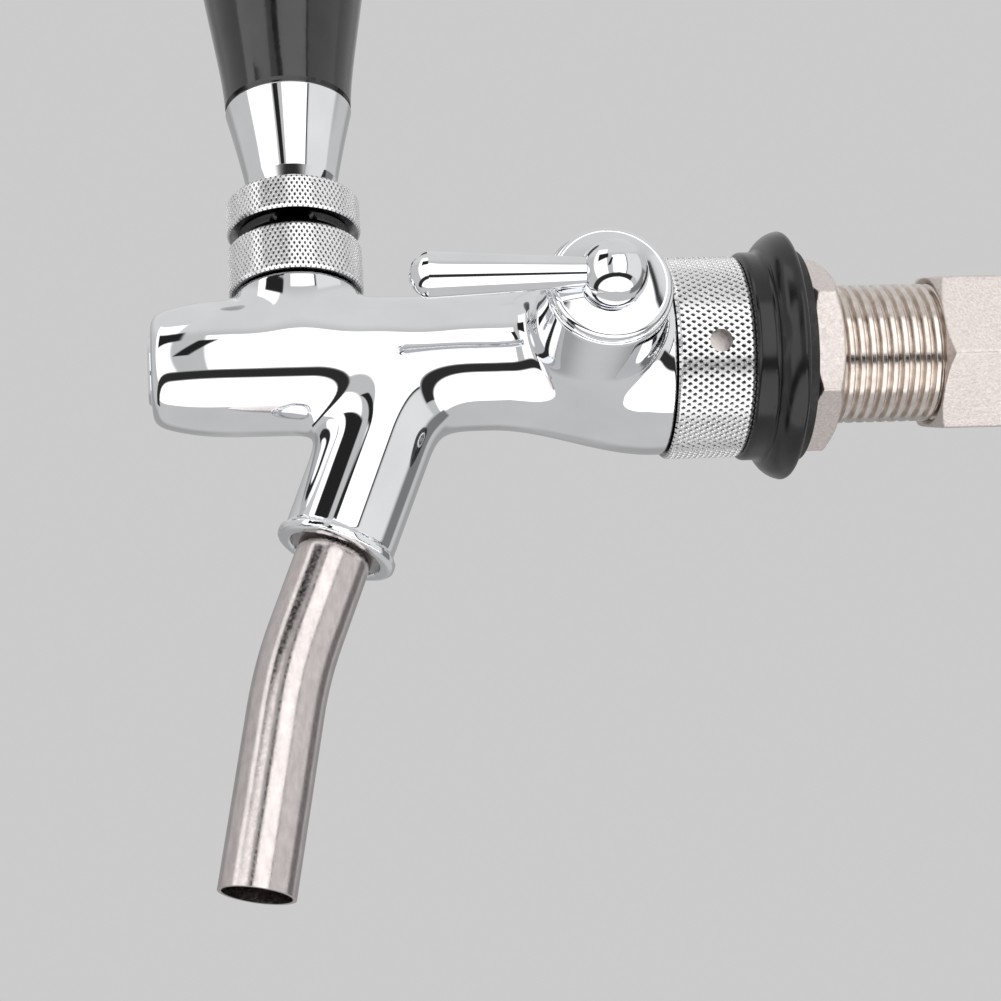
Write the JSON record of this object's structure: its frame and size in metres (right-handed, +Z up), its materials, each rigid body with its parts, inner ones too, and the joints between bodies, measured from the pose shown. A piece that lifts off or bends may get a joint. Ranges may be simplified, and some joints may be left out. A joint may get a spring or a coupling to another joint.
{
  "type": "beer tap",
  "caption": "Chromed beer tap with a black handle, side flow-control lever, bent spout tube, coupling ring, wall rosette and threaded shank with jam nut and hex adaptor.",
  "frame": {"origin": "on the shank axis, in the rear face of the rosette washer, which is the plane the tap is clamped at", "axes": "+X back along the shank, -X to the front of the tap, +Z up the handle, -Y to the side with the flow lever"},
  "size_m": [0.1585, 0.0576, 0.2039],
  "materials": {
    "polished_chrome": "mirror polished chrome plate",
    "brushed_tube": "fine brushed stainless",
    "stainless": "machined stainless",
    "nickel_steel": "bright nickel plate",
    "satin_nickel": "bead-blasted nickel plate",
    "brass": "machined",
    "black_gloss_plastic": "gloss moulded",
    "white_plastic": "moulded acetal",
    "black_rubber": "matt rubber"
  },
  "bodies": {
    "faucet": {"body": "polished_chrome", "front_plug": "polished_chrome", "front_plug_seal": "black_rubber", "spout_tube": "brushed_tube", "spout_bush": "white_plastic", "spout_seal": "black_rubber", "bonnet_nut": "polished_chrome", "ball_seat_lower": "white_plastic", "ball_seat_upper": "white_plastic", "spindle_washer": "white_plastic", "flow_cap": "polished_chrome", "coupling_ring": "polished_chrome", "tail_gasket": "black_rubber", "shank": "nickel_steel", "rosette": "black_gloss_plastic", "rosette_washer": "black_rubber", "jam_nut": "satin_nickel", "adaptor": "satin_nickel", "adaptor_gasket": "black_rubber"},
    "handle": {"lever": "stainless", "lock_ring": "polished_chrome", "ferrule": "polished_chrome", "grip": "black_gloss_plastic", "grip_insert": "brass"},
    "piston": {"piston": "stainless", "piston_seal_front": "black_rubber", "piston_seal_rear": "black_rubber", "valve_seal": "black_rubber", "valve_washer": "stainless", "valve_nut": "stainless"},
    "flow_lever": {"flow_spindle": "stainless", "flow_hub": "polished_chrome", "flow_arm": "polished_chrome", "flow_grub_screw": "stainless", "spindle_seal_inner": "black_rubber", "spindle_seal_outer": "black_rubber"},
    "compensator": {"compensator": "white_plastic"}
  },
  "joints": [
    {"name": "handle_tilt", "type": "hinge", "parent": "faucet", "child": "handle", "pos_m": [-0.0818, 0, 0.014], "axis": [0, -1, 0], "range_deg": [0, 30]},
    {"name": "piston_slide", "type": "slide", "parent": "faucet", "child": "piston", "axis": [1, 0, 0], "range_m": [0, 0.0072]},
    {"name": "flow_lever_turn", "type": "hinge", "parent": "faucet", "child": "flow_lever", "pos_m": [-0.0349, -0.0318, 0], "axis": [0, 1, 0], "range_deg": [-45, 45]},
    {"name": "compensator_slide", "type": "slide", "parent": "faucet", "child": "compensator", "axis": [1, 0, 0], "range_m": [-0.0018, 0.0018]}
  ],
  "couplings": [
    {"joint": "piston_slide", "follows": "handle_tilt", "m_per_rad": 0.01365},
    {"joint": "compensator_slide", "follows": "flow_lever_turn", "m_per_rad": 0.00225}
  ]
}
